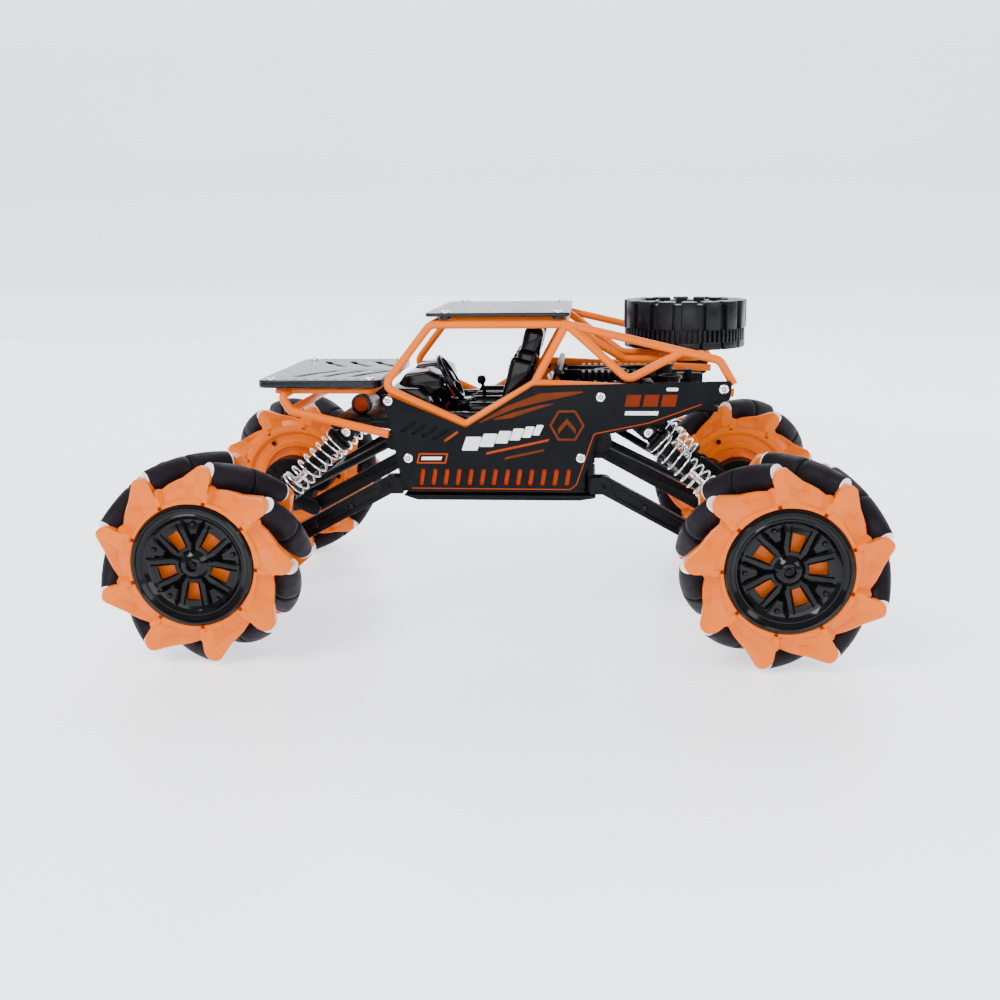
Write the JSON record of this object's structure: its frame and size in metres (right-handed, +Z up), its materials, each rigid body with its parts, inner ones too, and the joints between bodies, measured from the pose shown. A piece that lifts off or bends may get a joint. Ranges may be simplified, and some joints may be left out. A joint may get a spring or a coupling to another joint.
{
  "type": "rc stunt car",
  "caption": "Radio-controlled stunt buggy with roller-lug wheels, tube cage over a moulded cockpit, coil-over shocks on solid axles and a spare wheel on the tail.",
  "frame": {"origin": "on the ground, midway between the axles on the centre plane", "axes": "+X to the rear of the car, +Y to its right side, +Z up; the front faces -X"},
  "size_m": [0.322, 0.217, 0.1419],
  "materials": {
    "orange_plastic": "glossy moulded orange",
    "black_gloss": "high gloss black",
    "black_plastic": "satin moulded black",
    "roller_rubber": "matt soft roller tread",
    "tyre_rubber": "satin moulded tyre",
    "panel_paint": "satin black paint with a fine fleck",
    "chrome_steel": "bright plated steel",
    "battery_wrap": "shrink wrap",
    "board_green": "solder mask"
  },
  "bodies": {
    "chassis": {"chassis_tub": "black_plastic", "skid_plate": "black_plastic", "battery_pack": "battery_wrap", "control_board": "board_green", "subframe_front": "black_plastic", "subframe_rear": "black_plastic", "side_frame_left": "orange_plastic", "side_frame_right": "orange_plastic", "side_panel_left": "panel_paint", "side_panel_right": "panel_paint", "hood": "panel_paint", "nose_frame": "orange_plastic", "roof_plate": "panel_paint", "roof_frame": "orange_plastic", "spare_tyre": "tyre_rubber", "spare_wheel": "black_gloss", "cockpit": "black_gloss", "steering_wheel": "black_gloss", "engine_deck": "black_plastic"},
    "power_switch": {"switch_knob": "black_gloss"},
    "lower_arms_front": {"lower_arm_front_left": "black_plastic", "lower_arm_front_right": "black_plastic"},
    "upper_link_front": {"upper_wishbone_front": "black_plastic"},
    "axle_front": {"axle_housing_front": "black_plastic", "wheel_motor_front_left": "black_plastic", "wheel_motor_front_right": "black_plastic"},
    "shock_bodies_front": {"shock_body_front_left": "black_plastic", "shock_body_front_right": "black_plastic", "spring_front_left": "chrome_steel", "spring_front_right": "chrome_steel"},
    "shock_rods_front": {"shock_rod_front_left": "chrome_steel", "shock_rod_front_right": "chrome_steel"},
    "wheel_front_left": {"rim_outer_front_left": "orange_plastic", "rim_inner_front_left": "orange_plastic", "hubcap_front_left": "black_gloss", "rollers_front_left": "roller_rubber"},
    "wheel_front_right": {"rim_outer_front_right": "orange_plastic", "rim_inner_front_right": "orange_plastic", "hubcap_front_right": "black_gloss", "rollers_front_right": "roller_rubber"},
    "lower_arms_rear": {"lower_arm_rear_left": "black_plastic", "lower_arm_rear_right": "black_plastic"},
    "upper_link_rear": {"upper_wishbone_rear": "black_plastic"},
    "axle_rear": {"axle_housing_rear": "black_plastic", "wheel_motor_rear_left": "black_plastic", "wheel_motor_rear_right": "black_plastic"},
    "shock_bodies_rear": {"shock_body_rear_left": "black_plastic", "shock_body_rear_right": "black_plastic", "spring_rear_left": "chrome_steel", "spring_rear_right": "chrome_steel"},
    "shock_rods_rear": {"shock_rod_rear_left": "chrome_steel", "shock_rod_rear_right": "chrome_steel"},
    "wheel_rear_left": {"rim_outer_rear_left": "orange_plastic", "rim_inner_rear_left": "orange_plastic", "hubcap_rear_left": "black_gloss", "rollers_rear_left": "roller_rubber"},
    "wheel_rear_right": {"rim_outer_rear_right": "orange_plastic", "rim_inner_rear_right": "orange_plastic", "hubcap_rear_right": "black_gloss", "rollers_rear_right": "roller_rubber"}
  },
  "joints": [
    {"name": "power_switch_slide", "type": "slide", "parent": "chassis", "child": "power_switch", "axis": [1, 0, 0], "range_m": [-0.002, 0.002]},
    {"name": "front_suspension", "type": "hinge", "parent": "chassis", "child": "lower_arms_front", "pos_m": [-0.047, 0, 0.064], "axis": [0, 1, 0], "range_deg": [-6, 7], "stiffness_Nm_per_rad": 2, "springref_deg": -3.72},
    {"name": "front_axle_pivot", "type": "hinge", "parent": "lower_arms_front", "child": "axle_front", "pos_m": [-0.102, 0, 0.034], "axis": [0, 1, 0], "range_deg": [-7, 6]},
    {"name": "front_upper_link_pivot", "type": "hinge", "parent": "chassis", "child": "upper_link_front", "pos_m": [-0.047, 0, 0.081], "axis": [0, 1, 0], "range_deg": [-6, 7]},
    {"name": "front_shock_swing", "type": "hinge", "parent": "chassis", "child": "shock_bodies_front", "pos_m": [-0.066, 0, 0.0875], "axis": [0, 1, 0], "range_deg": [-9, 10.5]},
    {"name": "front_shock_stroke", "type": "slide", "parent": "shock_bodies_front", "child": "shock_rods_front", "axis": [-0.7244, 0, -0.6894], "range_m": [-0.002, 0.0017], "deforming": ["spring_front_left", "spring_front_right"]},
    {"name": "wheel_spin_front_left", "type": "hinge", "parent": "axle_front", "child": "wheel_front_left", "pos_m": [-0.1185, -0.089, 0.0425], "axis": [0, 1, 0], "continuous": true},
    {"name": "wheel_spin_front_right", "type": "hinge", "parent": "axle_front", "child": "wheel_front_right", "pos_m": [-0.1185, 0.089, 0.0425], "axis": [0, 1, 0], "continuous": true},
    {"name": "rear_suspension", "type": "hinge", "parent": "chassis", "child": "lower_arms_rear", "pos_m": [0.047, 0, 0.064], "axis": [0, -1, 0], "range_deg": [-6, 7], "stiffness_Nm_per_rad": 2, "springref_deg": -3.72},
    {"name": "rear_axle_pivot", "type": "hinge", "parent": "lower_arms_rear", "child": "axle_rear", "pos_m": [0.102, 0, 0.034], "axis": [0, -1, 0], "range_deg": [-7, 6]},
    {"name": "rear_upper_link_pivot", "type": "hinge", "parent": "chassis", "child": "upper_link_rear", "pos_m": [0.047, 0, 0.081], "axis": [0, -1, 0], "range_deg": [-6, 7]},
    {"name": "rear_shock_swing", "type": "hinge", "parent": "chassis", "child": "shock_bodies_rear", "pos_m": [0.066, 0, 0.0875], "axis": [0, -1, 0], "range_deg": [-9, 10.5]},
    {"name": "rear_shock_stroke", "type": "slide", "parent": "shock_bodies_rear", "child": "shock_rods_rear", "axis": [0.7244, 0, -0.6894], "range_m": [-0.002, 0.0017], "deforming": ["spring_rear_left", "spring_rear_right"]},
    {"name": "wheel_spin_rear_left", "type": "hinge", "parent": "axle_rear", "child": "wheel_rear_left", "pos_m": [0.1185, -0.089, 0.0425], "axis": [0, 1, 0], "continuous": true},
    {"name": "wheel_spin_rear_right", "type": "hinge", "parent": "axle_rear", "child": "wheel_rear_right", "pos_m": [0.1185, 0.089, 0.0425], "axis": [0, 1, 0], "continuous": true}
  ],
  "couplings": [
    {"joint": "front_axle_pivot", "follows": "front_suspension", "ratio": -1},
    {"joint": "front_upper_link_pivot", "follows": "front_suspension", "ratio": 1},
    {"joint": "front_shock_swing", "follows": "front_suspension", "ratio": 1.4226},
    {"joint": "front_shock_stroke", "follows": "front_suspension", "m_per_rad": -0.015769},
    {"joint": "rear_axle_pivot", "follows": "rear_suspension", "ratio": -1},
    {"joint": "rear_upper_link_pivot", "follows": "rear_suspension", "ratio": 1},
    {"joint": "rear_shock_swing", "follows": "rear_suspension", "ratio": 1.4226},
    {"joint": "rear_shock_stroke", "follows": "rear_suspension", "m_per_rad": -0.015769}
  ]
}
